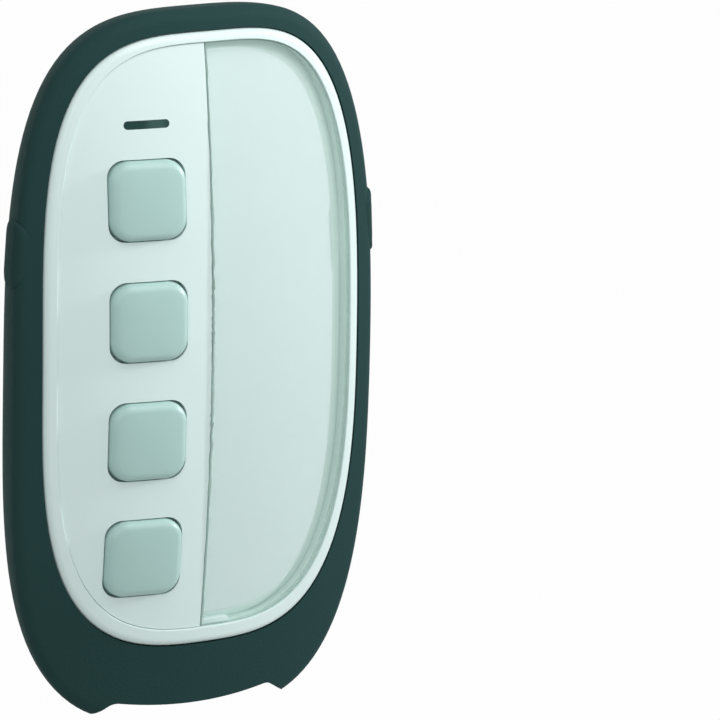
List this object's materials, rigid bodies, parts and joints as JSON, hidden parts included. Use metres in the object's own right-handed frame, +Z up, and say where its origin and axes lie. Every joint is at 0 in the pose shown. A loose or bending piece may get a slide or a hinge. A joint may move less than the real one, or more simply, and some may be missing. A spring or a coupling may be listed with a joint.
{
  "type": "wireless wall switch",
  "caption": "Upright oval wireless wall remote: dark casing, domed white inlay with square keys down its left half, a clear-covered label field on its right and keyhole slots in its flat back.",
  "frame": {"origin": "centre of the flat back, midway between the two keyhole mouths, in the plane that lies on the wall", "axes": "+Z up along the length of the casing, the face with the keys looks along -Y, +X to the right seen from the front, +Y into the wall"},
  "size_m": [0.063, 0.0199, 0.1102],
  "materials": {
    "casing": "satin",
    "inlay_white": "gloss",
    "card": "matte",
    "clear_cover": "clear gloss",
    "smoked_lens": "smoked gloss",
    "led_body": "milky",
    "board": "solder mask",
    "shield_can": "tinned",
    "chip": "matte",
    "capacitor": "matte ceramic",
    "copper_wire": "enamelled",
    "black_plastic": "matte",
    "cell_steel": "nickel",
    "contact_metal": "nickel",
    "screw_steel": "zinc",
    "grip": "matte",
    "key_plastic": "satin gloss",
    "button_plastic": "satin"
  },
  "bodies": {
    "casing": {"front_frame": "casing", "rear_shell": "casing", "bezel": "inlay_white", "key_panel": "inlay_white", "label_card": "card", "indicator_lens": "smoked_lens", "indicator_led": "led_body", "circuit_board": "board", "radio_module": "shield_can", "controller_chip": "chip", "crystal": "shield_can", "buffer_capacitor": "capacitor", "aerial": "copper_wire", "cell_holder": "black_plastic", "coin_cell": "cell_steel", "contact_minus": "contact_metal", "contact_plus": "contact_metal", "case_screws": "screw_steel", "side_grip_left": "grip", "side_grip_right": "grip", "switch_1": "black_plastic", "switch_2": "black_plastic", "switch_3": "black_plastic", "switch_4": "black_plastic"},
    "key_1": {"key_cap_1": "key_plastic", "switch_button_1": "button_plastic"},
    "key_2": {"key_cap_2": "key_plastic", "switch_button_2": "button_plastic"},
    "key_3": {"key_cap_3": "key_plastic", "switch_button_3": "button_plastic"},
    "key_4": {"key_cap_4": "key_plastic", "switch_button_4": "button_plastic"},
    "label_cover": {"label_cover": "clear_cover"},
    "battery_cover": {"battery_cover": "casing"}
  },
  "joints": [
    {"name": "key_press_1", "type": "slide", "parent": "casing", "child": "key_1", "axis": [0, 1, 0], "range_m": [0, 0.0006], "stiffness_N_per_m": 1000, "springref_m": -0.0008},
    {"name": "key_press_2", "type": "slide", "parent": "casing", "child": "key_2", "axis": [0, 1, 0], "range_m": [0, 0.0006], "stiffness_N_per_m": 1000, "springref_m": -0.0008},
    {"name": "key_press_3", "type": "slide", "parent": "casing", "child": "key_3", "axis": [0, 1, 0], "range_m": [0, 0.0006], "stiffness_N_per_m": 1000, "springref_m": -0.0008},
    {"name": "key_press_4", "type": "slide", "parent": "casing", "child": "key_4", "axis": [0, 1, 0], "range_m": [0, 0.0006], "stiffness_N_per_m": 1000, "springref_m": -0.0008},
    {"name": "label_cover_lift", "type": "slide", "parent": "casing", "child": "label_cover", "axis": [0, -1, 0], "range_m": [0, 0.012]},
    {"name": "battery_cover_lift", "type": "slide", "parent": "casing", "child": "battery_cover", "axis": [0, 1, 0], "range_m": [0, 0.012]}
  ]
}
